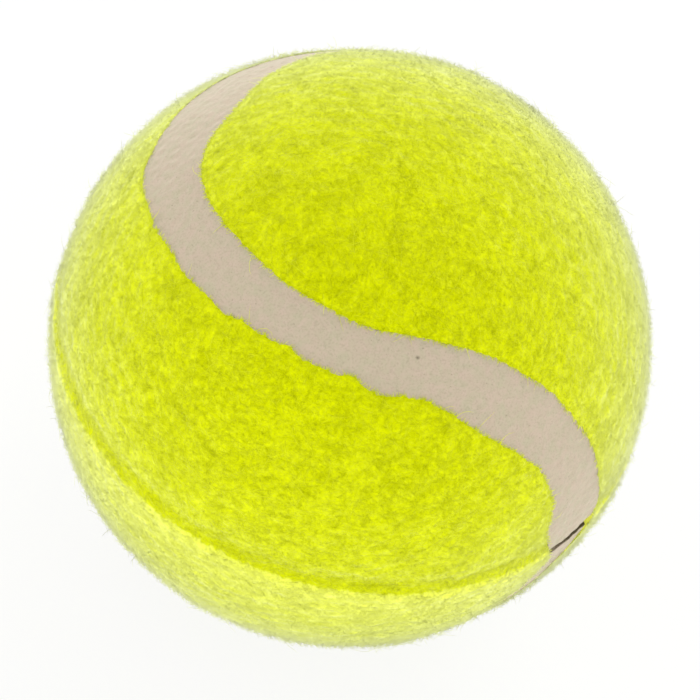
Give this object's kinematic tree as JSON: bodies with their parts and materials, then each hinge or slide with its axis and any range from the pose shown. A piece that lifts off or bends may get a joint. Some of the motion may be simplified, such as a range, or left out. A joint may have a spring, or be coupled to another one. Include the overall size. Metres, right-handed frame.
{
  "type": "tennis ball",
  "caption": "Hollow rubber ball covered in yellow-green felt panels that interlock along a curved grey seam, for playing tennis.",
  "frame": {"origin": "centre of the ball", "axes": "+Z square to the plane where the cover's moulds met, up; the picture looks down from the -Y side"},
  "size_m": [0.0666, 0.0666, 0.066],
  "materials": {
    "felt": "raised woollen nap, matt",
    "seam_cement": "matt, slightly mottled",
    "cover_cement": "dull, brushed on",
    "core_rubber": "matt moulded rubber"
  },
  "bodies": {
    "root": {"felt_panel_right": "felt", "felt_panel_left": "felt", "seam_strip": "seam_cement", "cover_cement": "cover_cement", "core_half_upper": "core_rubber", "core_half_lower": "core_rubber", "core_joint_cement": "cover_cement"}
  },
  "joints": []
}
